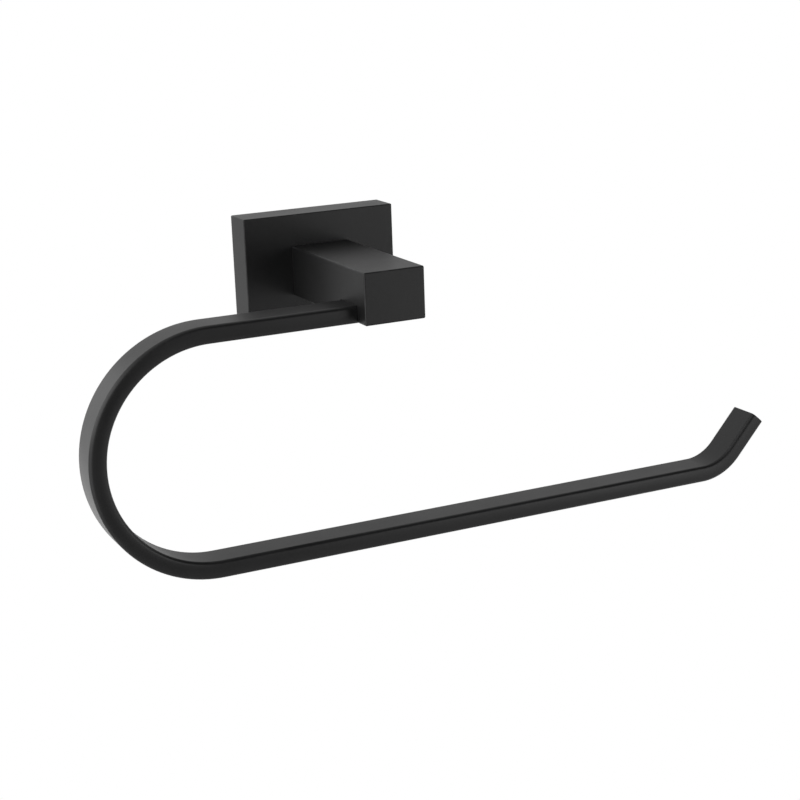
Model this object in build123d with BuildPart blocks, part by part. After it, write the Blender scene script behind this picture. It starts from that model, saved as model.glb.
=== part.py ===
from build123d import *
from math import radians, tan
import os

# Towel holder: a bent flat bar carried by a square post on a wall plate, in millimetres.
# X runs along the wall, Y into the wall and Z up.
# The origin is the middle of the wall plate's back, level with the middle of the post.

# Wall plate, a cast cover that is open at the back
plate_width = 50.0
plate_height = 35.0
plate_depth = 10.5
plate_wall = 2.5
plate_edge_radius = 0.4
plate_inner_radius = 1.5

# Post, a solid block that stands out from the plate
post_width = 19.2
post_height = 15.5
post_reach = 63.0
post_edge_radius = 0.5

# Towel bar, one flat bar with rounded edges, bent edge-on
bar_depth = 11.3
bar_thickness = 5.3
bar_edge_radius = 1.2
bend_offset = 54.5
bend_radius = 34.5
upturn_offset = 112.0
upturn_radius = 16.0
upturn_angle = 48.5
tip_length = 14.0
tip_edge_radius = 0.4

# Slot in the underside of the post, a little shallower than the bar, so that the screw can clamp it
slot_front_wall = 5.5
slot_end_wall = 5.0
slot_side_clearance = 0.1
slot_end_clearance = 0.3
bar_proud = 0.2

# Screws that hold the post to the plate, put in from inside the plate
post_screw_diameter = 4.0
post_screw_head_gap = 2.0
post_screw_grip = 8.0
post_screw_head_diameter = 7.0
post_screw_head_height = 4.0
post_screw_key = 3.0
post_screw_key_depth = 2.0

# Countersunk screw that holds the bar up in the slot
bar_screw_diameter = 4.0
bar_screw_roof = 2.0
bar_screw_head_diameter = 7.4
bar_screw_key = 2.5
bar_screw_key_depth = 1.5
countersink_angle = 90

# Set screw in the plate's lower wall, which grips the wall bracket
set_screw_diameter = 4.0
set_screw_recess = 0.5
set_screw_key = 2.0
set_screw_key_depth = 1.6
set_screw_point = 0.6
boss_side_wall = 2.0
boss_rise = 1.5

# Wall bracket, folded steel that the plate hooks over
bracket_thickness = 2.0
bracket_inner_radius = 0.8
bracket_side_gap = 3.5
bracket_front_gap = 1.0
bracket_head_gap = 1.5
bracket_boss_gap = 0.5
wall_hole_diameter = 5.0
wall_hole_edge = 5.0

# Clearances that the fasteners share
thread_clearance = 0.05
through_clearance = 0.2
tapped_hole_spare = 1.5
head_seat_clearance = 0.1

# Inside of the plate, deep enough for the bracket and the screw heads
cavity_width = plate_width - 2 * plate_wall
cavity_height = plate_height - 2 * plate_wall
cavity_depth = bracket_thickness + bracket_head_gap + post_screw_head_height
plate_front_wall = plate_depth - cavity_depth
post_screw_spacing = post_screw_head_diameter + post_screw_head_gap

# Bracket and set screw inside the plate
bracket_width = cavity_width - 2 * bracket_side_gap
bracket_flange_reach = cavity_depth - bracket_front_gap
wall_hole_spacing = bracket_width - 2 * wall_hole_edge
flange_underside = -cavity_height / 2 + boss_rise + bracket_boss_gap
upper_fold_level = cavity_height / 2 - bracket_thickness / 2
lower_fold_level = flange_underside + bracket_thickness / 2
set_screw_reach = (bracket_flange_reach + bracket_thickness + bracket_inner_radius) / 2
set_screw_foot = -plate_height / 2 + set_screw_recess

# Slot, bar and bar screw in the post
slot_length = post_width - slot_end_wall
slot_end = post_width / 2 - slot_end_wall
bar_reach = post_reach - slot_front_wall - bar_depth / 2
bar_underside = -post_height / 2 - bar_proud
bar_top_level = bar_underside + bar_thickness / 2
bar_bottom_level = bar_top_level - 2 * bend_radius
bar_screw_offset = slot_end - slot_length / 2
bar_screw_depth = post_height + bar_proud - bar_thickness - bar_screw_roof
bar_screw_length = bar_thickness + bar_screw_depth - tapped_hole_spare
bar_screw_head_step = (bar_screw_head_diameter - bar_screw_diameter) / 2
bar_screw_head_drop = bar_screw_head_step / tan(radians(countersink_angle / 2))

os.makedirs("parts", exist_ok=True)

# Wall plate: a rounded block, hollowed from the back, with a boss for the set screw
with BuildPart() as wall_plate:
    with BuildSketch(Plane.XZ):
        Rectangle(plate_width, plate_height)
    extrude(amount=plate_depth)
    plate_back = wall_plate.faces().sort_by(Axis.Y)[-1]
    fillet(wall_plate.edges() - plate_back.edges(), radius=plate_edge_radius)
    with BuildSketch(Plane.XZ):
        RectangleRounded(cavity_width, cavity_height, plate_inner_radius)
    extrude(amount=cavity_depth, mode=Mode.SUBTRACT)
    with BuildSketch(Plane.XY.offset(-cavity_height / 2)):
        with Locations((0, -set_screw_reach)):
            Rectangle(set_screw_diameter + 2 * boss_side_wall, 2 * (cavity_depth - set_screw_reach))
    extrude(amount=boss_rise)
    with BuildSketch(Plane.XY.offset(-plate_height / 2)):
        with Locations((0, -set_screw_reach)):
            Circle(set_screw_diameter / 2 + thread_clearance)
    extrude(amount=plate_wall + boss_rise, mode=Mode.SUBTRACT)
    with BuildSketch(Plane.XZ.offset(cavity_depth)):
        with GridLocations(post_screw_spacing, 0, 2, 1):
            Circle(post_screw_diameter / 2 + through_clearance)
    extrude(amount=plate_front_wall, mode=Mode.SUBTRACT)

# Post: a rounded block with two tapped holes at the back and the bar's slot underneath
with BuildPart() as post:
    with BuildSketch(Plane.XZ.offset(plate_depth)):
        Rectangle(post_width, post_height)
    extrude(amount=post_reach - plate_depth)
    post_back = post.faces().sort_by(Axis.Y)[-1]
    fillet(post.edges() - post_back.edges(), radius=post_edge_radius)
    with BuildSketch(Plane.XZ.offset(plate_depth)):
        with GridLocations(post_screw_spacing, 0, 2, 1):
            Circle(post_screw_diameter / 2 + thread_clearance)
    extrude(amount=post_screw_grip + tapped_hole_spare, mode=Mode.SUBTRACT)
    with BuildSketch(Plane.XY.offset(bar_underside)):
        with Locations((bar_screw_offset, -bar_reach)):
            Rectangle(slot_length, bar_depth + 2 * slot_side_clearance)
    extrude(amount=bar_thickness, mode=Mode.SUBTRACT)
    with BuildSketch(Plane.XY.offset(bar_underside + bar_thickness)):
        with Locations((bar_screw_offset, -bar_reach)):
            Circle(bar_screw_diameter / 2 + thread_clearance)
    extrude(amount=bar_screw_depth, mode=Mode.SUBTRACT)

# Towel bar: a rounded flat section swept along the top run, bend, bottom run and upturned tip
with BuildPart() as towel_bar:
    with BuildLine(Plane.XZ.offset(bar_reach)) as bar_line:
        top_run = Line(
            (slot_end - slot_end_clearance, bar_top_level), (-bend_offset, bar_top_level)
        )
        bend = JernArc(top_run @ 1, top_run % 1, radius=bend_radius, arc_size=180)
        bottom_run = Line(bend @ 1, (upturn_offset, bar_bottom_level))
        upturn = JernArc(bottom_run @ 1, bottom_run % 1, radius=upturn_radius, arc_size=upturn_angle)
        tip = PolarLine(upturn @ 1, tip_length, direction=upturn % 1)
    bar_path = bar_line.wire()
    with BuildSketch(Plane(origin=bar_path @ 0, x_dir=(0, 1, 0), z_dir=bar_path % 0)):
        RectangleRounded(bar_depth, bar_thickness, bar_edge_radius)
    sweep(path=bar_path)
    tip_end = towel_bar.faces().sort_by_distance(bar_path @ 1)[0]
    fillet(tip_end.edges(), radius=tip_edge_radius)
    with Locations(Plane((bar_screw_offset, -bar_reach, bar_underside), z_dir=(0, 0, -1))):
        CounterSinkHole(
            radius=bar_screw_diameter / 2 + through_clearance,
            counter_sink_radius=bar_screw_head_diameter / 2 + head_seat_clearance,
            counter_sink_angle=countersink_angle,
            depth=bar_thickness,
        )

# Wall bracket: a folded channel with two flanges and two wall screw holes
with BuildPart() as wall_bracket:
    with BuildSketch(Plane.YZ):
        with BuildLine() as fold:
            FilletPolyline(
                (-bracket_flange_reach, upper_fold_level),
                (-bracket_thickness / 2, upper_fold_level),
                (-bracket_thickness / 2, lower_fold_level),
                (-bracket_flange_reach, lower_fold_level),
                radius=bracket_inner_radius + bracket_thickness / 2,
            )
        trace(fold.edges(), line_width=bracket_thickness)
    extrude(amount=bracket_width / 2, both=True)
    with BuildSketch(Plane.XZ):
        with GridLocations(wall_hole_spacing, 0, 2, 1):
            Circle(wall_hole_diameter / 2)
    extrude(amount=bracket_thickness, mode=Mode.SUBTRACT)

# Post screws: two socket cap screws with their heads inside the plate
with BuildPart() as post_screws:
    with BuildSketch(Plane.XZ.offset(cavity_depth)):
        with GridLocations(post_screw_spacing, 0, 2, 1):
            Circle(post_screw_diameter / 2)
    extrude(amount=plate_front_wall + post_screw_grip)
    with BuildSketch(Plane.XZ.offset(cavity_depth - post_screw_head_height)):
        with GridLocations(post_screw_spacing, 0, 2, 1):
            Circle(post_screw_head_diameter / 2)
    extrude(amount=post_screw_head_height)
    with BuildSketch(Plane.XZ.offset(cavity_depth - post_screw_head_height)):
        with GridLocations(post_screw_spacing, 0, 2, 1):
            RegularPolygon(post_screw_key / 2, 6, major_radius=False)
    extrude(amount=post_screw_key_depth, mode=Mode.SUBTRACT)

# Bar screw: a countersunk screw from below, its head flush with the bar
with BuildPart() as bar_screw:
    with BuildSketch(Plane.XY.offset(bar_underside)):
        with Locations((bar_screw_offset, -bar_reach)):
            Circle(bar_screw_head_diameter / 2)
    extrude(amount=bar_screw_head_drop, taper=countersink_angle / 2)
    with BuildSketch(Plane.XY.offset(bar_underside)):
        with Locations((bar_screw_offset, -bar_reach)):
            Circle(bar_screw_diameter / 2)
    extrude(amount=bar_screw_length)
    with BuildSketch(Plane.XY.offset(bar_underside)):
        with Locations((bar_screw_offset, -bar_reach)):
            RegularPolygon(bar_screw_key / 2, 6, major_radius=False)
    extrude(amount=bar_screw_key_depth, mode=Mode.SUBTRACT)

# Set screw: from below the plate up to the bracket's lower flange
with BuildPart() as set_screw:
    with BuildSketch(Plane.XY.offset(set_screw_foot)):
        with Locations((0, -set_screw_reach)):
            Circle(set_screw_diameter / 2)
    extrude(amount=flange_underside - set_screw_foot)
    chamfer(set_screw.edges().group_by(Axis.Z)[-1], length=set_screw_point)
    with BuildSketch(Plane.XY.offset(set_screw_foot)):
        with Locations((0, -set_screw_reach)):
            RegularPolygon(set_screw_key / 2, 6, major_radius=False)
    extrude(amount=set_screw_key_depth, mode=Mode.SUBTRACT)

wall_plate.part.label = "wall_plate"
post.part.label = "post"
towel_bar.part.label = "towel_bar"
wall_bracket.part.label = "wall_bracket"
post_screws.part.label = "post_screws"
bar_screw.part.label = "bar_screw"
set_screw.part.label = "set_screw"

export_step(wall_plate.part, "parts/wall_plate.step")
export_step(post.part, "parts/post.step")
export_step(towel_bar.part, "parts/towel_bar.step")
export_step(wall_bracket.part, "parts/wall_bracket.step")
export_step(post_screws.part, "parts/post_screws.step")
export_step(bar_screw.part, "parts/bar_screw.step")
export_step(set_screw.part, "parts/set_screw.step")
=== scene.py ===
import math

import bmesh
import bpy
from mathutils import Matrix, Vector


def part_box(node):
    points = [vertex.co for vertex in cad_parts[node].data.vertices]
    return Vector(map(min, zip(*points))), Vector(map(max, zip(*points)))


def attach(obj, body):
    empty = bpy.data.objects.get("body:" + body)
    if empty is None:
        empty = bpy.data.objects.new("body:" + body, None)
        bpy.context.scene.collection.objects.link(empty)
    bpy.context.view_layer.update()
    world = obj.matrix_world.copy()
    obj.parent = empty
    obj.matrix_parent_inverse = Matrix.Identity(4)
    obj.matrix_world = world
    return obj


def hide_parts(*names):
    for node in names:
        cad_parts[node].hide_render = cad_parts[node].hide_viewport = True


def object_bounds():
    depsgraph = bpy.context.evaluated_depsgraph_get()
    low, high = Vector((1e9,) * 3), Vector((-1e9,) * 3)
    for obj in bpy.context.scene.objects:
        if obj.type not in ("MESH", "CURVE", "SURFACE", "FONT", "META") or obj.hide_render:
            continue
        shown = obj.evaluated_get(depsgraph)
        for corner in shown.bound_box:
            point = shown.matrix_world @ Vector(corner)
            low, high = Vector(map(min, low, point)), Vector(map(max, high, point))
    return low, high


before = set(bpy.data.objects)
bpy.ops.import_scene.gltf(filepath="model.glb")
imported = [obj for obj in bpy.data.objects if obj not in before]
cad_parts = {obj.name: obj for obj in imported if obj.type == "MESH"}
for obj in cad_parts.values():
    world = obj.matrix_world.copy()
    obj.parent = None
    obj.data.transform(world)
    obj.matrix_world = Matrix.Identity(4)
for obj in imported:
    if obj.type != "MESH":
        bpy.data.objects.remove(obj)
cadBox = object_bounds()

# Pieces are modelled in millimetres and brought to metres when they are done.
mm = 0.001


def nodeBox(node):
    low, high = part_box(node)
    return low / mm, high / mm


plateLow, plateHigh = nodeBox("wall_plate")
postLow, postHigh = nodeBox("post")
barLow, barHigh = nodeBox("towel_bar")
bracketLow, bracketHigh = nodeBox("wall_bracket")
postScrewsLow, postScrewsHigh = nodeBox("post_screws")
barScrewLow, barScrewHigh = nodeBox("bar_screw")
setScrewLow, setScrewHigh = nodeBox("set_screw")
print("stage: frame loaded, nodes", sorted(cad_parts))


def newObject(name, mesh):
    thing = bpy.data.objects.new(name, mesh)
    bpy.context.scene.collection.objects.link(thing)
    return thing


def meshObject(name, work):
    bmesh.ops.recalc_face_normals(work, faces=work.faces[:])
    mesh = bpy.data.meshes.new(name)
    work.to_mesh(mesh)
    work.free()
    return newObject(name, mesh)


def settle(thing):
    # what the modifiers give becomes the object's own plain mesh
    depsgraph = bpy.context.evaluated_depsgraph_get()
    mesh = bpy.data.meshes.new_from_object(thing.evaluated_get(depsgraph), depsgraph=depsgraph)
    name = thing.name
    if thing.type == "MESH":
        thing.modifiers.clear()
        thing.data = mesh
        return thing
    bpy.data.objects.remove(thing)
    return newObject(name, mesh)


def carve(thing, cutter, operation="DIFFERENCE"):
    step = thing.modifiers.new("carve", "BOOLEAN")
    step.operation = operation
    step.solver = "EXACT"
    step.object = cutter
    settle(thing)
    bpy.data.objects.remove(cutter)
    return thing


def roundEdges(thing, radius, segments, fromAngle):
    step = thing.modifiers.new("rounded edges", "BEVEL")
    step.width = radius
    step.segments = segments
    step.limit_method = "ANGLE"
    step.angle_limit = math.radians(fromAngle)
    settle(thing)


def block(low, high, radius=0.0, segments=1, keepSharp=None):
    # keepSharp(edge) is true for the edges that stay sharp
    work = bmesh.new()
    bmesh.ops.create_cube(work, size=1.0)
    low, high = Vector(low), Vector(high)
    for vert in work.verts:
        vert.co = Vector(low[i] + (vert.co[i] + 0.5) * (high[i] - low[i]) for i in range(3))
    if radius:
        rounded = [edge for edge in work.edges if not (keepSharp and keepSharp(edge))]
        bmesh.ops.bevel(
            work, geom=rounded, offset=radius, offset_type="OFFSET", segments=segments,
            profile=0.5, affect="EDGES", clamp_overlap=True,
        )
    return meshObject("block", work)


def prism(outline, start, end, place=Matrix.Identity(4)):
    # a flat outline drawn from start to end along its own Z, then put in place
    work = bmesh.new()
    face = work.faces.new([work.verts.new((x, y, start)) for x, y in outline])
    grown = bmesh.ops.extrude_face_region(work, geom=[face])
    moved = [item for item in grown["geom"] if isinstance(item, bmesh.types.BMVert)]
    bmesh.ops.translate(work, verts=moved, vec=(0, 0, end - start))
    work.transform(place)
    return meshObject("prism", work)


def roundedOutline(width, height, radius, steps):
    points = []
    for turn, (sideX, sideY) in enumerate(((1, 1), (-1, 1), (-1, -1), (1, -1))):
        for step in range(steps + 1):
            angle = math.pi / 2 * (turn + step / steps)
            points.append((
                sideX * (width / 2 - radius) + radius * math.cos(angle),
                sideY * (height / 2 - radius) + radius * math.sin(angle),
            ))
    return points


def ringOutline(radius, sides, start=0.0):
    angles = [start + 2 * math.pi * side / sides for side in range(sides)]
    return [(radius * math.cos(angle), radius * math.sin(angle)) for angle in angles]


def lathe(name, profile, sides, ridges=None):
    # profile is (radius, height) from pole to pole; ridges(height) is the depth of the knurl there
    work = bmesh.new()
    rings = []
    for radius, height in profile:
        if radius == 0:
            rings.append([work.verts.new((0, 0, height))])
            continue
        ring = []
        for side in range(sides):
            angle = 2 * math.pi * side / sides
            drop = ridges(height) * (side % 2) if ridges else 0
            ring.append(work.verts.new(
                ((radius - drop) * math.cos(angle), (radius - drop) * math.sin(angle), height)
            ))
        rings.append(ring)
    for lower, upper in zip(rings, rings[1:]):
        for side in range(sides):
            corners = [
                lower[side % len(lower)], lower[(side + 1) % len(lower)],
                upper[(side + 1) % len(upper)], upper[side % len(upper)],
            ]
            work.faces.new(list(dict.fromkeys(corners)))
    return meshObject(name, work)


# Geometry Nodes trees
def newTree(name, sizes):
    tree = bpy.data.node_groups.new(name, "GeometryNodeTree")
    tree.interface.new_socket(name="Geometry", in_out="INPUT", socket_type="NodeSocketGeometry")
    for label, kind in sizes:
        tree.interface.new_socket(name=label, in_out="INPUT", socket_type="NodeSocket" + kind)
    tree.interface.new_socket(name="Geometry", in_out="OUTPUT", socket_type="NodeSocketGeometry")
    return tree, tree.nodes.new("NodeGroupInput"), tree.nodes.new("NodeGroupOutput")


def addNode(tree, kind, settings=None, **links):
    # links names the node's inputs; a value is a socket to join or a plain value
    node = tree.nodes.new(kind)
    for setting, value in (settings or {}).items():
        setattr(node, setting, value)
    for label, value in links.items():
        key = int(label[1:]) if label[0] == "i" and label[1:].isdigit() else label.replace("_", " ")
        if isinstance(value, bpy.types.NodeSocket):
            tree.links.new(value, node.inputs[key])
        else:
            node.inputs[key].default_value = value
    return node


def addMath(tree, operation, first, second=0.0):
    return addNode(tree, "ShaderNodeMath", {"operation": operation}, i0=first, i1=second).outputs[0]


def closeTree(tree, treeOut, geometry, material):
    real = addNode(tree, "GeometryNodeRealizeInstances", Geometry=geometry)
    dressed = addNode(
        tree, "GeometryNodeSetMaterial", Geometry=real.outputs["Geometry"], Material=material
    )
    tree.links.new(dressed.outputs["Geometry"], treeOut.inputs["Geometry"])
    return tree


def runTree(thing, tree, values):
    step = thing.modifiers.new(tree.name, "NODES")
    step.node_group = tree
    for item in tree.interface.items_tree:
        if item.in_out == "INPUT" and item.name in values:
            step[item.identifier] = values[item.name]
    return settle(thing)


def sweepTree():
    # a rounded flat section swept along the bar's line, which is drawn flat and then stood up
    tree, treeIn, treeOut = newTree("barSweep", [
        ("Depth", "Float"), ("Thickness", "Float"), ("Edge Radius", "Float"),
        ("Edge Steps", "Int"), ("Crown", "Float"), ("Crown Steps", "Int"), ("Reach", "Float"),
        ("Material", "Material"),
    ])
    line = addNode(
        tree, "GeometryNodeSetCurveNormal", {"mode": "Z_UP"}, Curve=treeIn.outputs["Geometry"]
    )
    section = addNode(
        tree, "GeometryNodeCurvePrimitiveQuadrilateral",
        Width=treeIn.outputs["Thickness"], Height=treeIn.outputs["Depth"],
    )
    rounded = addNode(
        tree, "GeometryNodeFilletCurve", {"mode": "POLY"}, Curve=section.outputs["Curve"],
        Count=treeIn.outputs["Edge Steps"], Radius=treeIn.outputs["Edge Radius"],
    )
    # the narrow sides get points of their own and swell towards their middle
    place = addNode(tree, "GeometryNodeInputPosition")
    axes = addNode(tree, "ShaderNodeSeparateXYZ", Vector=place.outputs["Position"])
    across = addMath(
        tree, "DIVIDE", axes.outputs["X"], addMath(tree, "MULTIPLY", treeIn.outputs["Thickness"], 0.5)
    )
    along = addMath(
        tree, "DIVIDE", axes.outputs["Y"], addMath(tree, "MULTIPLY", treeIn.outputs["Depth"], 0.5)
    )
    onSide = addMath(tree, "GREATER_THAN", addMath(tree, "ABSOLUTE", along), 0.999)
    parted = addNode(
        tree, "GeometryNodeSubdivideCurve", Curve=rounded.outputs["Curve"],
        Cuts=addMath(tree, "MULTIPLY", onSide, treeIn.outputs["Crown Steps"]),
    )
    fall = addMath(
        tree, "MULTIPLY", addMath(tree, "POWER", addMath(tree, "ABSOLUTE", across), 2.0),
        treeIn.outputs["Crown"],
    )
    pulled = addMath(tree, "MULTIPLY", addMath(tree, "MULTIPLY", fall, along), -1.0)
    inwards = addNode(tree, "ShaderNodeCombineXYZ", Y=pulled)
    crowned = addNode(
        tree, "GeometryNodeSetPosition", Geometry=parted.outputs["Curve"],
        Offset=inwards.outputs["Vector"],
    )
    swept = addNode(
        tree, "GeometryNodeCurveToMesh", Curve=line.outputs["Curve"],
        Profile_Curve=crowned.outputs["Geometry"], Fill_Caps=True,
    )
    behind = addNode(
        tree, "ShaderNodeCombineXYZ", Y=addMath(tree, "MULTIPLY", treeIn.outputs["Reach"], -1.0)
    )
    stood = addNode(
        tree, "GeometryNodeTransform", Geometry=swept.outputs["Mesh"],
        Translation=behind.outputs["Vector"], Rotation=(math.pi / 2, 0, 0),
    )
    return closeTree(tree, treeOut, stood.outputs["Geometry"], treeIn.outputs["Material"])


def threadTree():
    # sinks a helical groove into a turned shank between two heights
    tree, treeIn, treeOut = newTree("cutThread", [
        ("Start", "Float"), ("End", "Float"), ("Pitch", "Float"), ("Groove", "Float"),
        ("Material", "Material"),
    ])
    place = addNode(tree, "GeometryNodeInputPosition")
    axes = addNode(tree, "ShaderNodeSeparateXYZ", Vector=place.outputs["Position"])
    height = axes.outputs["Z"]
    angle = addMath(tree, "ARCTAN2", axes.outputs["Y"], axes.outputs["X"])
    turns = addMath(
        tree, "SUBTRACT", addMath(tree, "DIVIDE", height, treeIn.outputs["Pitch"]),
        addMath(tree, "DIVIDE", angle, 2 * math.pi),
    )
    wave = addMath(tree, "PINGPONG", turns, 0.5)
    fadeIn = addNode(
        tree, "ShaderNodeMapRange", Value=addMath(tree, "SUBTRACT", height, treeIn.outputs["Start"]),
        From_Max=treeIn.outputs["Pitch"], To_Max=2.0,
    )
    fadeOut = addNode(
        tree, "ShaderNodeMapRange", Value=addMath(tree, "SUBTRACT", treeIn.outputs["End"], height),
        From_Max=treeIn.outputs["Pitch"], To_Max=2.0,
    )
    fade = addMath(tree, "MINIMUM", fadeIn.outputs["Result"], fadeOut.outputs["Result"])
    depth = addMath(
        tree, "MULTIPLY", addMath(tree, "MULTIPLY", wave, fade), treeIn.outputs["Groove"]
    )
    outwards = addNode(
        tree, "ShaderNodeCombineXYZ",
        X=addMath(tree, "COSINE", angle), Y=addMath(tree, "SINE", angle),
    )
    offset = addNode(
        tree, "ShaderNodeVectorMath", {"operation": "SCALE"}, Vector=outwards.outputs["Vector"],
        Scale=addMath(tree, "MULTIPLY", depth, -1.0),
    )
    inShank = addMath(
        tree, "MULTIPLY",
        addMath(tree, "GREATER_THAN", height, treeIn.outputs["Start"]),
        addMath(tree, "LESS_THAN", height, treeIn.outputs["End"]),
    )
    cut = addNode(
        tree, "GeometryNodeSetPosition", Geometry=treeIn.outputs["Geometry"],
        Selection=inShank, Offset=offset.outputs["Vector"],
    )
    return closeTree(tree, treeOut, cut.outputs["Geometry"], treeIn.outputs["Material"])


def rowTree():
    # repeats one screw in a row along the wall, centred on its own place
    tree, treeIn, treeOut = newTree("screwRow", [
        ("Count", "Int"), ("Spacing", "Float"), ("Material", "Material"),
    ])
    span = addMath(
        tree, "MULTIPLY", addMath(tree, "SUBTRACT", treeIn.outputs["Count"], 1.0),
        treeIn.outputs["Spacing"],
    )
    first = addNode(tree, "ShaderNodeCombineXYZ", X=addMath(tree, "MULTIPLY", span, -0.5))
    gap = addNode(tree, "ShaderNodeCombineXYZ", X=treeIn.outputs["Spacing"])
    places = addNode(
        tree, "GeometryNodeMeshLine", Count=treeIn.outputs["Count"],
        Start_Location=first.outputs["Vector"], Offset=gap.outputs["Vector"],
    )
    copies = addNode(
        tree, "GeometryNodeInstanceOnPoints", Points=places.outputs["Mesh"],
        Instance=treeIn.outputs["Geometry"],
    )
    return closeTree(tree, treeOut, copies.outputs["Instances"], treeIn.outputs["Material"])


# Shader groups that the finishes share
def newShaderGroup(name, inputs, outputs):
    group = bpy.data.node_groups.new(name, "ShaderNodeTree")
    for label, default in inputs:
        socket = group.interface.new_socket(name=label, in_out="INPUT", socket_type="NodeSocketFloat")
        socket.default_value = default
    for label in outputs:
        group.interface.new_socket(name=label, in_out="OUTPUT", socket_type="NodeSocketFloat")
    return group, group.nodes.new("NodeGroupInput"), group.nodes.new("NodeGroupOutput")


def grainGroup():
    # fine grain and a slow mottle, both around 0.5, for a sprayed or dipped finish
    group, groupIn, groupOut = newShaderGroup(
        "finishGrain", [("Grain Scale", 3200.0), ("Peel Scale", 700.0), ("Mottle Scale", 45.0)],
        ["Grain", "Peel", "Mottle"],
    )
    spot = addNode(group, "ShaderNodeTexCoord")
    for label, scale, detail in (
        ("Grain", "Grain Scale", 2.0), ("Peel", "Peel Scale", 1.0), ("Mottle", "Mottle Scale", 3.0),
    ):
        noise = addNode(
            group, "ShaderNodeTexNoise", Vector=spot.outputs["Object"],
            Scale=groupIn.outputs[scale], Detail=detail, Roughness=0.55,
        )
        group.links.new(noise.outputs["Fac"], groupOut.inputs[label])
    return group


def rubAndSheenGroup():
    # the rounded edges, broken up by a noise: where hands and cloth rub on the oxide screws, and a
    # painted edge highlight on the black coat
    group, groupIn, groupOut = newShaderGroup(
        "edgeRubAndSheen", [("Break Scale", 160.0), ("Spread", 0.5)], ["Mask"]
    )
    spot = addNode(group, "ShaderNodeTexCoord")
    edge = addNode(group, "ShaderNodeAttribute", {"attribute_name": "edgeTurn"})
    noise = addNode(
        group, "ShaderNodeTexNoise", Vector=spot.outputs["Object"],
        Scale=groupIn.outputs["Break Scale"], Detail=4.0, Roughness=0.6,
    )
    broken = addNode(
        group, "ShaderNodeMapRange", Value=noise.outputs["Fac"],
        From_Min=groupIn.outputs["Spread"], From_Max=0.75,
    )
    mask = addMath(group, "MULTIPLY", edge.outputs["Fac"], broken.outputs["Result"])
    group.links.new(mask, groupOut.inputs["Mask"])
    return group


finishGrain = grainGroup()
edgeRubAndSheen = rubAndSheenGroup()


def newMaterial(name):
    material = bpy.data.materials.new(name)
    material.use_nodes = True
    tree = material.node_tree
    shader = tree.nodes["Principled BSDF"]
    return material, tree, shader


def placeGroup(tree, group, **values):
    node = tree.nodes.new("ShaderNodeGroup")
    node.node_tree = group
    for label, value in values.items():
        node.inputs[label.replace("_", " ")].default_value = value
    return node


def blendColours(tree, factor, first, second):
    # first is a plain colour or the output of another blend
    start = first if isinstance(first, bpy.types.NodeSocket) else (*first, 1)
    node = addNode(tree, "ShaderNodeMix", {"data_type": "RGBA"}, i0=factor, i6=start, i7=(*second, 1))
    return node.outputs[2]


def joinSurface(tree, shader, finish, colour, variation, height):
    # roughness follows a noise around 0.5, and height is the fine relief in metres
    tree.links.new(colour, shader.inputs["Base Color"])
    roughness = addNode(
        tree, "ShaderNodeMapRange", Value=variation, From_Min=0.3, From_Max=0.7,
        To_Min=finish["roughness"] - finish["roughnessSpread"] / 2,
        To_Max=finish["roughness"] + finish["roughnessSpread"] / 2,
    )
    tree.links.new(roughness.outputs["Result"], shader.inputs["Roughness"])
    bump = addNode(tree, "ShaderNodeBump", Strength=1.0, Distance=1.0, Height=height)
    tree.links.new(bump.outputs["Normal"], shader.inputs["Normal"])


blackCoat = {
    "colour": (0.003, 0.003, 0.0031),
    "paleColour": (0.0045, 0.0045, 0.0047),
    # the lighter colour of the rounded edges is a painted edge highlight
    "rubAndSheenColour": (0.02, 0.02, 0.0205),
    "roughness": 0.4,
    "roughnessSpread": 0.06,
    "specular": 0.28,
    "grainHeight": 0.000016,
    "peelHeight": 0.000008,
}


def makeBlackCoat():
    material, tree, shader = newMaterial("blackCoat")
    grain = placeGroup(tree, finishGrain)
    rubAndSheen = placeGroup(tree, edgeRubAndSheen)
    base = blendColours(tree, grain.outputs["Mottle"], blackCoat["colour"], blackCoat["paleColour"])
    # the rounded edges are lightened by the edge mask: a painted edge highlight
    colour = blendColours(tree, rubAndSheen.outputs["Mask"], base, blackCoat["rubAndSheenColour"])
    shader.inputs["Specular IOR Level"].default_value = blackCoat["specular"]
    height = addMath(
        tree, "ADD",
        addMath(tree, "MULTIPLY", grain.outputs["Grain"], blackCoat["grainHeight"]),
        addMath(tree, "MULTIPLY", grain.outputs["Peel"], blackCoat["peelHeight"]),
    )
    joinSurface(tree, shader, blackCoat, colour, grain.outputs["Mottle"], height)
    return material


zincPlate = {
    "colour": (0.55, 0.56, 0.58),
    "dullColour": (0.42, 0.42, 0.41),
    "roughness": 0.34,
    "roughnessSpread": 0.2,
    "mottleScale": 160.0,
    "grainHeight": 0.000004,
    "rollScale": (60.0, 2400.0, 2400.0),
}


def makeZincPlate():
    material, tree, shader = newMaterial("zincPlate")
    grain = placeGroup(tree, finishGrain, Mottle_Scale=zincPlate["mottleScale"])
    spot = addNode(tree, "ShaderNodeTexCoord")
    along = addNode(
        tree, "ShaderNodeMapping", Vector=spot.outputs["Object"], Scale=zincPlate["rollScale"]
    )
    rolled = addNode(
        tree, "ShaderNodeTexNoise", Vector=along.outputs["Vector"], Scale=1.0, Detail=2.0
    )
    colour = blendColours(
        tree, grain.outputs["Mottle"], zincPlate["colour"], zincPlate["dullColour"]
    )
    shader.inputs["Metallic"].default_value = 1.0
    height = addMath(tree, "MULTIPLY", rolled.outputs["Fac"], zincPlate["grainHeight"])
    joinSurface(tree, shader, zincPlate, colour, rolled.outputs["Fac"], height)
    return material


blackOxide = {
    "colour": (0.016, 0.016, 0.017),
    "rubAndSheenColour": (0.11, 0.11, 0.11),
    "roughness": 0.36,
    "roughnessSpread": 0.12,
    "metallic": 0.35,
    "mottleScale": 500.0,
    "breakScale": 900.0,
    "grainHeight": 0.000003,
}


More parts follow.
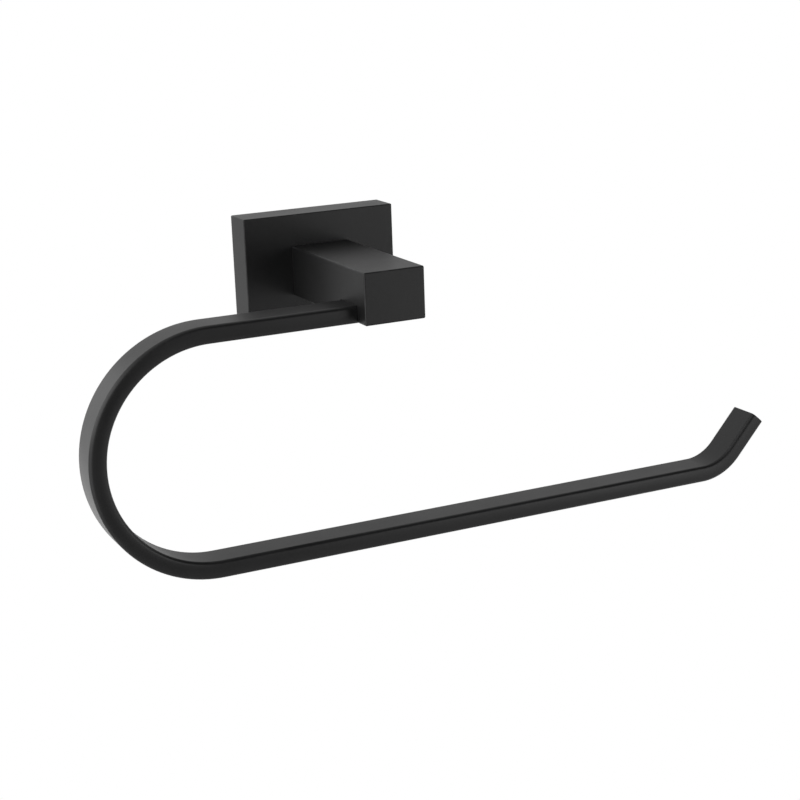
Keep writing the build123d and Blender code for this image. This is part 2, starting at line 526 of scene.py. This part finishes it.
def makeBlackOxide():
    material, tree, shader = newMaterial("blackOxide")
    grain = placeGroup(tree, finishGrain, Mottle_Scale=blackOxide["mottleScale"])
    rubAndSheen = placeGroup(tree, edgeRubAndSheen, Break_Scale=blackOxide["breakScale"])
    colour = blendColours(tree, rubAndSheen.outputs["Mask"], blackOxide["colour"], blackOxide["rubAndSheenColour"])
    shader.inputs["Metallic"].default_value = blackOxide["metallic"]
    height = addMath(tree, "MULTIPLY", grain.outputs["Grain"], blackOxide["grainHeight"])
    joinSurface(tree, shader, blackOxide, colour, grain.outputs["Mottle"], height)
    return material


coatMaterial = makeBlackCoat()
zincMaterial = makeZincPlate()
oxideMaterial = makeBlackOxide()
print("stage: materials made")


def markEdges(mesh, fullRadius):
    # edgeTurn is 1 where a convex edge is as tight as fullRadius, and 0 on flat and hollow faces
    work = bmesh.new()
    work.from_mesh(mesh)
    layer = work.verts.layers.float.new("edgeTurn")
    for vert in work.verts:
        tightest = 0.0
        for edge in vert.link_edges:
            if len(edge.link_faces) != 2 or edge.calc_length() < 1e-6:
                continue
            across = sum(face.calc_area() for face in edge.link_faces) / edge.calc_length() / 2
            tightest = max(tightest, edge.calc_face_angle_signed(0.0) / max(across, 1e-6))
        vert[layer] = min(1.0, tightest * fullRadius)
    work.to_mesh(mesh)
    work.free()


def finishPiece(thing, name, node, material, fullRadius=0.4, sharpAngle=35.0):
    thing.name = thing.data.name = name
    mesh = thing.data
    work = bmesh.new()
    work.from_mesh(mesh)
    bmesh.ops.remove_doubles(work, verts=work.verts[:], dist=0.0005)
    bmesh.ops.dissolve_degenerate(work, edges=work.edges[:], dist=0.0005)
    work.to_mesh(mesh)
    work.free()
    markEdges(mesh, fullRadius)
    mesh.transform(Matrix.Scale(mm, 4))
    mesh.shade_smooth()
    mesh.set_sharp_from_angle(angle=math.radians(sharpAngle))
    even = thing.modifiers.new("even shading", "WEIGHTED_NORMAL")
    even.weight = 100
    even.keep_sharp = True
    settle(thing)
    thing.data.name = name
    thing.data.materials.clear()
    thing.data.materials.append(material)
    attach(thing, "root")
    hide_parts(node)
    print("piece:", name, len(thing.data.polygons), "faces")
    return thing


# Wall plate, a cast cover that is open at the back
wallPlate = {
    "wall": 2.5,
    "cavityDepth": 7.5,
    "edgeRadius": 0.4,
    "edgeSteps": 5,
    "innerRadius": 1.5,
    "innerSteps": 6,
    "bossWidth": 8.0,
    "bossRise": 1.5,
    "bossStart": 1.8,
    "bossLap": 0.5,
    "screwHole": 4.4,
    "setHole": 4.1,
}
screwSpacing = 9.0
setScrewReach = -(setScrewLow.y + setScrewHigh.y) / 2
holeSides = 48
cutPast = 1.0  # how far a cutter stands out of the face it cuts
upright = Matrix.Rotation(math.radians(90), 4, "X")  # turns an outline's Z to -Y


def makeWallPlate():
    wall = wallPlate["wall"]
    plate = block(
        plateLow, plateHigh, wallPlate["edgeRadius"], wallPlate["edgeSteps"],
        lambda edge: all(vert.co.y > plateHigh.y - 0.01 for vert in edge.verts),
    )
    size = plateHigh - plateLow
    cavity = roundedOutline(
        size.x - 2 * wall, size.z - 2 * wall, wallPlate["innerRadius"], wallPlate["innerSteps"]
    )
    depth = wallPlate["cavityDepth"]
    carve(plate, prism(cavity, -cutPast, depth, upright))
    bossHalf, lap = wallPlate["bossWidth"] / 2, wallPlate["bossLap"]
    floorLevel = plateLow.z + wall
    bossLevel = floorLevel + wallPlate["bossRise"]
    boss = block(
        (-bossHalf, -depth - lap, floorLevel - lap), (bossHalf, -wallPlate["bossStart"], bossLevel)
    )
    carve(plate, boss, "UNION")
    for side in (-1, 1):
        across = Matrix.Translation((side * screwSpacing / 2, 0, 0))
        hole = ringOutline(wallPlate["screwHole"] / 2, holeSides)
        carve(plate, prism(hole, depth - cutPast, size.y + cutPast, across @ upright))
    setHole = ringOutline(wallPlate["setHole"] / 2, holeSides)
    setPlace = Matrix.Translation((0, -setScrewReach, 0))
    carve(plate, prism(setHole, plateLow.z - cutPast, bossLevel + cutPast, setPlace))
    return finishPiece(plate, "wallPlate", "wall_plate", coatMaterial)


# Post, a solid block with the bar's slot underneath
postBlock = {
    "edgeRadius": 0.5,
    "edgeSteps": 6,
    "slotEndWall": 5.0,
    "slotSideRoom": 0.1,
    "tappedHole": 4.1,
    "tappedDepth": 9.5,
    "roof": 2.0,
}
barDepth = barHigh.y - barLow.y
barReach = -(barLow.y + barHigh.y) / 2
barThickness = 5.3
barUnderside = barScrewLow.z
barScrewX = (barScrewLow.x + barScrewHigh.x) / 2


def makePost():
    post = block(
        postLow, postHigh, postBlock["edgeRadius"], postBlock["edgeSteps"],
        lambda edge: all(vert.co.y > postHigh.y - 0.01 for vert in edge.verts),
    )
    halfSlot = barDepth / 2 + postBlock["slotSideRoom"]
    slotRoof = barUnderside + barThickness
    carve(post, block(
        (postLow.x - cutPast, -barReach - halfSlot, postLow.z - cutPast),
        (postHigh.x - postBlock["slotEndWall"], -barReach + halfSlot, slotRoof),
    ))
    hole = ringOutline(postBlock["tappedHole"] / 2, holeSides)
    start = -postHigh.y
    for side in (-1, 1):
        across = Matrix.Translation((side * screwSpacing / 2, 0, 0))
        carve(post, prism(hole, start - cutPast, start + postBlock["tappedDepth"], across @ upright))
    carve(post, prism(
        hole, slotRoof - cutPast, postHigh.z - postBlock["roof"],
        Matrix.Translation((barScrewX, -barReach, 0)),
    ))
    return finishPiece(post, "post", "post", coatMaterial)


# Towel bar, one flat bar bent into the open loop
towelBar = {
    "edgeRadius": 1.0,
    "edgeSteps": 7,
    "crown": 0.3,
    "crownSteps": 8,
    "endInSlot": 4.3,
    "bendRadius": 34.5,
    "upturnStart": 112.0,
    "upturnRadius": 16.0,
    "upturnAngle": 48.5,
    "tipLength": 14.0,
    "tipEdgeRadius": 0.4,
    "tipEdgeSteps": 4,
    "tipEdgeAngle": 60,
    "stepsPerStretch": 36,
    "sinkRadius": 3.8,
    "sinkLap": 0.1,
    "throughHole": 4.4,
}


def drawBarLine():
    # tangent points of the runs and bends, each with the length of its two handles
    bend = towelBar["bendRadius"]
    bottom = barLow.z + barThickness / 2
    top = bottom + 2 * bend
    bendX = barLow.x + barThickness / 2 + bend
    angle = math.radians(towelBar["upturnAngle"])
    upturn = towelBar["upturnRadius"]
    bendPull = bend * 4 / 3 * math.tan(math.pi / 8)
    upturnPull = upturn * 4 / 3 * math.tan(angle / 4)
    left, down, right = Vector((-1, 0)), Vector((0, -1)), Vector((1, 0))
    tipWay = Vector((math.cos(angle), math.sin(angle)))
    upturnStart = Vector((towelBar["upturnStart"], bottom))
    upturnEnd = upturnStart + upturn * Vector((math.sin(angle), 1 - math.cos(angle)))
    stops = [
        (Vector((towelBar["endInSlot"], top)), left, 10, 10),
        (Vector((bendX, top)), left, 10, bendPull),
        (Vector((bendX - bend, top - bend)), down, bendPull, bendPull),
        (Vector((bendX, bottom)), right, bendPull, 10),
        (upturnStart, right, 10, upturnPull),
        (upturnEnd, tipWay, upturnPull, 4),
        (upturnEnd + towelBar["tipLength"] * tipWay, tipWay, 4, 4),
    ]
    curve = bpy.data.curves.new("barLine", "CURVE")
    curve.dimensions = "3D"
    curve.resolution_u = towelBar["stepsPerStretch"]
    spline = curve.splines.new("BEZIER")
    spline.bezier_points.add(len(stops) - 1)
    for point, (place, way, pullBefore, pullAfter) in zip(spline.bezier_points, stops):
        point.handle_left_type = point.handle_right_type = "FREE"
        point.co = place.to_3d()
        point.handle_left = (place - pullBefore * way).to_3d()
        point.handle_right = (place + pullAfter * way).to_3d()
    return newObject("barLine", curve)


def makeTowelBar():
    bar = runTree(drawBarLine(), sweepTree(), {
        "Depth": barDepth, "Thickness": barThickness, "Edge Radius": towelBar["edgeRadius"],
        "Edge Steps": towelBar["edgeSteps"], "Crown": towelBar["crown"],
        "Crown Steps": towelBar["crownSteps"], "Reach": barReach, "Material": coatMaterial,
    })
    roundEdges(bar, towelBar["tipEdgeRadius"], towelBar["tipEdgeSteps"], towelBar["tipEdgeAngle"])
    # the cone starts below the bar, so that no edge of the cutter lies in the bar's face
    sink, through, lap = towelBar["sinkRadius"], towelBar["throughHole"] / 2, towelBar["sinkLap"]
    cutter = lathe("cutter", [
        (0, -cutPast), (sink + lap, -cutPast), (sink + lap, -lap), (through, sink - through),
        (through, barThickness + cutPast), (0, barThickness + cutPast),
    ], holeSides)
    cutter.data.transform(Matrix.Translation((barScrewX, -barReach, barUnderside)))
    carve(bar, cutter)
    return finishPiece(bar, "towelBar", "towel_bar", coatMaterial)


# Wall bracket, folded steel that the plate hooks over
wallBracket = {
    "thickness": 2.0,
    "innerRadius": 0.8,
    "foldSteps": 8,
    "holeDiameter": 5.0,
    "holeSpacing": 28.0,
    "edgeRadius": 0.2,
    "edgeSteps": 3,
    "edgeAngle": 50,
}


def makeWallBracket():
    thick, inner = wallBracket["thickness"], wallBracket["innerRadius"]
    steps = wallBracket["foldSteps"]
    outer = inner + thick
    front, back = bracketLow.y, bracketHigh.y
    top, bottom = bracketHigh.z, bracketLow.z

    def arc(centreY, centreZ, radius, start, end):
        angles = [math.radians(start + (end - start) * step / steps) for step in range(steps + 1)]
        return [(centreY + radius * math.cos(a), centreZ + radius * math.sin(a)) for a in angles]

    # the channel's outline in the Y-Z plane, outside first and back along the inside
    outline = [(front, top), *arc(back - outer, top - outer, outer, 90, 0)]
    outline += [*arc(back - outer, bottom + outer, outer, 0, -90), (front, bottom)]
    outline += [(front, bottom + thick), *arc(back - outer, bottom + outer, inner, -90, 0)]
    outline += [*arc(back - outer, top - outer, inner, 0, 90), (front, top - thick)]
    sideways = Matrix(((0, 0, 1, 0), (1, 0, 0, 0), (0, 1, 0, 0), (0, 0, 0, 1)))
    bracket = prism(outline, bracketLow.x, bracketHigh.x, sideways)
    hole = ringOutline(wallBracket["holeDiameter"] / 2, holeSides)
    for side in (-1, 1):
        across = Matrix.Translation((side * wallBracket["holeSpacing"] / 2, 0, 0))
        carve(bracket, prism(hole, -cutPast, thick + cutPast, across @ upright))
    roundEdges(bracket, wallBracket["edgeRadius"], wallBracket["edgeSteps"], wallBracket["edgeAngle"])
    return finishPiece(bracket, "wallBracket", "wall_bracket", zincMaterial)


# Screws: turned, threaded and given a hexagon socket
screwThread = {
    "pitch": 0.7, "groove": 0.43, "stepsPerPitch": 6, "sides": 64,
    "plain": 1.0, "lead": 0.2, "past": 0.01,
}
hexSocket = {"drillShare": 0.97, "drillAngle": 30, "drillLap": 0.3, "drillRise": 0.02, "drillSides": 24}
cutThread = threadTree()
screwRow = rowTree()


def shankProfile(radius, start, end):
    step = screwThread["pitch"] / screwThread["stepsPerPitch"]
    count = round((end - start) / step)
    return [(radius, start + (end - start) * index / count) for index in range(count + 1)]


def threadSpan(headEnd, shankEnd):
    # the thread fades in a little before the first ring of the shank
    return headEnd + screwThread["plain"] - screwThread["lead"], shankEnd + screwThread["past"]


def cutSocket(screw, acrossFlats, depth):
    # the hexagon's corners lie between the head's edges, and the drill touches none of its flats
    half = acrossFlats / 2
    corner = half / math.cos(math.pi / 6)
    carve(screw, prism(ringOutline(corner, 6, math.pi / screwThread["sides"]), -cutPast, depth))
    drill = half * hexSocket["drillShare"]
    start, turn = depth - hexSocket["drillLap"], depth - hexSocket["drillRise"]
    tip = turn + drill * math.tan(math.radians(hexSocket["drillAngle"]))
    outline = [(0, start), (drill, start), (drill, turn), (0, tip)]
    carve(screw, lathe("drill", outline, hexSocket["drillSides"]))


def makeScrew(name, profile, thread, socket, material, ridges=None):
    screw = lathe(name, profile, screwThread["sides"], ridges)
    runTree(screw, cutThread, {
        "Start": thread[0], "End": thread[1], "Pitch": screwThread["pitch"],
        "Groove": screwThread["groove"], "Material": material,
    })
    cutSocket(screw, *socket)
    return screw


postScrew = {
    "diameter": 4.0, "headDiameter": 7.0, "headHeight": 4.0, "headRound": 0.4, "headChamfer": 0.15,
    "neck": 0.25, "knurl": 0.12, "knurlGap": 0.25, "key": 3.0, "keyDepth": 2.0, "point": 0.5,
}


def makePostScrews():
    head, rounding = postScrew["headHeight"], postScrew["headRound"]
    chamfer, neck = postScrew["headChamfer"], postScrew["neck"]
    shank, wide = postScrew["diameter"] / 2, postScrew["headDiameter"] / 2
    length = postScrewsHigh.y - postScrewsLow.y
    point = postScrew["point"]
    shoulder = 0.3 * rounding
    knurlEnd = head - 2 * chamfer
    profile = [(0, 0), (wide - rounding, 0), (wide - shoulder, shoulder), (wide, rounding)]
    profile += [(wide, rounding + postScrew["knurlGap"]), (wide, knurlEnd)]
    profile += [(wide, head - chamfer), (wide - chamfer, head)]
    profile += [(shank + neck, head), (shank, head + neck)]
    profile += shankProfile(shank, head + screwThread["plain"], length - point)
    profile += [(shank - point, length), (0, length)]
    screws = makeScrew(
        "postScrews", profile, threadSpan(head, length - point),
        (postScrew["key"], postScrew["keyDepth"]), zincMaterial,
        lambda height: postScrew["knurl"] if rounding < height < head - 1.5 * chamfer else 0,
    )
    runTree(screws, screwRow, {"Count": 2, "Spacing": screwSpacing, "Material": zincMaterial})
    screws.data.transform(Matrix.Translation((0, postScrewsHigh.y, 0)) @ upright)
    return finishPiece(screws, "postScrews", "post_screws", zincMaterial)


barScrew = {
    "diameter": 4.0, "headDiameter": 7.4, "rim": 0.15, "rimChamfer": (0.12, 0.08),
    "key": 2.5, "keyDepth": 1.5, "point": 0.5,
}


def makeBarScrew():
    shank, wide = barScrew["diameter"] / 2, barScrew["headDiameter"] / 2
    length = barScrewHigh.z - barScrewLow.z
    point, rim = barScrew["point"], barScrew["rim"]
    cutIn, cutUp = barScrew["rimChamfer"]
    drop = wide - shank
    profile = [(0, 0), (wide - cutIn, 0), (wide, cutUp), (wide, rim), (shank, drop + rim)]
    profile += shankProfile(shank, drop + screwThread["plain"], length - point)
    profile += [(shank - point, length), (0, length)]
    screw = makeScrew(
        "barScrew", profile, threadSpan(drop, length - point),
        (barScrew["key"], barScrew["keyDepth"]), oxideMaterial,
    )
    screw.data.transform(Matrix.Translation((barScrewX, -barReach, barScrewLow.z)))
    return finishPiece(screw, "barScrew", "bar_screw", oxideMaterial)


setScrew = {"diameter": 4.0, "key": 2.0, "keyDepth": 1.6, "point": 0.6, "foot": 0.3}


def makeSetScrew():
    shank = setScrew["diameter"] / 2
    length = setScrewHigh.z - setScrewLow.z
    point, foot = setScrew["point"], setScrew["foot"]
    profile = [(0, 0), (shank - foot, 0)]
    profile += shankProfile(shank, foot, length - point)
    profile += [(shank - point, length), (0, length)]
    past = screwThread["past"]
    screw = makeScrew(
        "setScrew", profile, (foot - past, length - point + past),
        (setScrew["key"], setScrew["keyDepth"]), oxideMaterial,
    )
    screw.data.transform(Matrix.Translation((0, -setScrewReach, setScrewLow.z)))
    return finishPiece(screw, "setScrew", "set_screw", oxideMaterial)


makeWallPlate()
makePost()
makeTowelBar()
makeWallBracket()
makePostScrews()
makeBarScrew()
makeSetScrew()
print("stage: pieces made")


# Camera at the photograph's viewing angle
cameraView = {
    "place": (-0.213989, -0.510741, 0.104491),
    "turnRight": math.degrees(0.4464187),
    "lookDown": math.degrees(0.2662176),
    "lean": math.degrees(-0.0362144),
    "lens": 79.715,
}


def makeCamera():
    data = bpy.data.cameras.new("camera")
    data.sensor_width = 36
    data.lens = cameraView["lens"]
    camera = newObject("camera", data)
    camera.matrix_world = (
        Matrix.Translation(cameraView["place"])
        @ Matrix.Rotation(math.radians(-cameraView["turnRight"]), 4, "Z")
        @ Matrix.Rotation(math.radians(90 - cameraView["lookDown"]), 4, "X")
        @ Matrix.Rotation(math.radians(cameraView["lean"]), 4, "Z")
    )
    bpy.context.scene.camera = camera


# Pale floor far below, soft lamps and an even white surround
studio = {
    "floorDrop": 0.7,
    "floorSize": 12.0,
    "floorColour": (0.8, 0.8, 0.8),
    "fadeStart": 0.35,
    "fadeEnd": 0.85,
    "surround": 0.5,
}
# turn is degrees to the right of the front, rise is degrees above level, away is metres;
# swing turns a panel about its upright, so that the small one behind the bend lights little else
softboxes = {
    "left": {"turn": -85, "rise": 22, "away": 1.0, "size": (1.8, 0.76), "watts": 11.5},
    "leftLow": {"turn": -66, "rise": -18, "away": 1.0, "size": (1.0, 0.42), "watts": 2.0},
    "right": {"turn": 37, "rise": 4, "away": 1.0, "size": (0.42, 0.68), "watts": 1.95},
    "bend": {
        "turn": -125.5, "rise": 3, "away": 0.258, "swing": -99.5, "size": (0.283, 0.34), "watts": 0.19,
    },
}
cards = {
    "front": {"turn": 7.5, "rise": -1, "away": 1.2, "size": (0.46, 1.2), "grey": 0.03},
    "roof": {"turn": 41, "rise": 48, "away": 0.9, "size": (2.0, 0.85), "grey": 0.1},
    "wall": {"turn": 138, "rise": 17, "away": 0.8, "size": (0.9, 0.72), "grey": 0.72},
    "wallLeft": {"turn": -158, "rise": -2, "away": 0.8, "size": (0.6, 0.32), "grey": 0.72},
}
objectMiddle = Vector((0.02, -0.045, -0.03))


def seenRays(tree):
    # rays that should meet the white background: straight from the camera, mirrored or passed through
    path = addNode(tree, "ShaderNodeLightPath")
    seen = addMath(
        tree, "MAXIMUM", path.outputs["Is Camera Ray"], path.outputs["Is Glossy Ray"]
    )
    return addMath(tree, "MAXIMUM", seen, path.outputs["Is Transmission Ray"])


def makeFloor():
    half = studio["floorSize"] / 2
    level = cadBox[0].z - studio["floorDrop"]
    mesh = bpy.data.meshes.new("floor")
    mesh.from_pydata(
        [(-half, -half, level), (half, -half, level), (half, half, level), (-half, half, level)],
        [], [(0, 1, 2, 3)],
    )
    material = bpy.data.materials.new("paleFloor")
    material.use_nodes = True
    tree = material.node_tree
    tree.nodes.clear()
    spot = addNode(tree, "ShaderNodeTexCoord")
    flat = addNode(
        tree, "ShaderNodeVectorMath", {"operation": "MULTIPLY"}, i0=spot.outputs["Object"],
        i1=(1, 1, 0),
    )
    away = addNode(tree, "ShaderNodeVectorMath", {"operation": "LENGTH"}, i0=flat.outputs["Vector"])
    fade = addNode(
        tree, "ShaderNodeMapRange", {"interpolation_type": "SMOOTHSTEP"},
        Value=away.outputs["Value"], From_Min=studio["fadeStart"], From_Max=studio["fadeEnd"],
    )
    diffuse = addNode(tree, "ShaderNodeBsdfDiffuse", Color=(*studio["floorColour"], 1))
    white = addNode(tree, "ShaderNodeEmission", Color=(1, 1, 1, 1), Strength=1.0)
    mix = addNode(
        tree, "ShaderNodeMixShader",
        i0=addMath(tree, "MULTIPLY", fade.outputs["Result"], seenRays(tree)),
        i1=diffuse.outputs["BSDF"], i2=white.outputs["Emission"],
    )
    output = tree.nodes.new("ShaderNodeOutputMaterial")
    tree.links.new(mix.outputs["Shader"], output.inputs["Surface"])
    mesh.materials.append(material)
    newObject("floor", mesh)


def makeSurround():
    world = bpy.data.worlds.new("surround")
    bpy.context.scene.world = world
    world.use_nodes = True
    tree = world.node_tree
    tree.nodes.clear()
    light = addNode(
        tree, "ShaderNodeBackground", Color=(1, 1, 1, 1), Strength=studio["surround"]
    )
    white = addNode(tree, "ShaderNodeBackground", Color=(1, 1, 1, 1), Strength=1.0)
    mix = addNode(
        tree, "ShaderNodeMixShader", i0=seenRays(tree), i1=light.outputs["Background"],
        i2=white.outputs["Background"],
    )
    output = tree.nodes.new("ShaderNodeOutputWorld")
    tree.links.new(mix.outputs["Shader"], output.inputs["Surface"])


def faceObject(thing, panel):
    turn, rise = math.radians(panel["turn"]), math.radians(panel["rise"])
    way = Vector((
        math.sin(turn) * math.cos(rise), -math.cos(turn) * math.cos(rise), math.sin(rise)
    ))
    thing.location = objectMiddle + panel["away"] * way
    facing = Matrix.Rotation(math.radians(panel.get("swing", 0)), 3, "Z") @ -way
    thing.rotation_euler = facing.to_track_quat("-Z", "Y").to_euler()


def makeSoftboxes():
    for name, box in softboxes.items():
        data = bpy.data.lights.new(name + "Softbox", "AREA")
        data.shape = "RECTANGLE"
        data.size, data.size_y = box["size"]
        data.energy = box["watts"]
        lamp = newObject(data.name, data)
        faceObject(lamp, box)
        lamp.visible_camera = False


def makeCards():
    # plain cards around the set that only the object mirrors
    for name, card in cards.items():
        wide, tall = card["size"][0] / 2, card["size"][1] / 2
        mesh = bpy.data.meshes.new(name + "Card")
        mesh.from_pydata(
            [(-wide, -tall, 0), (-wide, tall, 0), (wide, tall, 0), (wide, -tall, 0)],
            [], [(0, 1, 2, 3)],
        )
        material = bpy.data.materials.new(mesh.name)
        material.use_nodes = True
        tree = material.node_tree
        tree.nodes.clear()
        flat = addNode(tree, "ShaderNodeEmission", Color=(1, 1, 1, 1), Strength=card["grey"])
        output = tree.nodes.new("ShaderNodeOutputMaterial")
        tree.links.new(flat.outputs["Emission"], output.inputs["Surface"])
        mesh.materials.append(material)
        thing = newObject(mesh.name, mesh)
        faceObject(thing, card)
        thing.visible_camera = False


makeCamera()
makeFloor()
makeSurround()
makeSoftboxes()
makeCards()
bpy.context.scene.view_settings.view_transform = "Standard"
print("stage: camera, floor and light set")
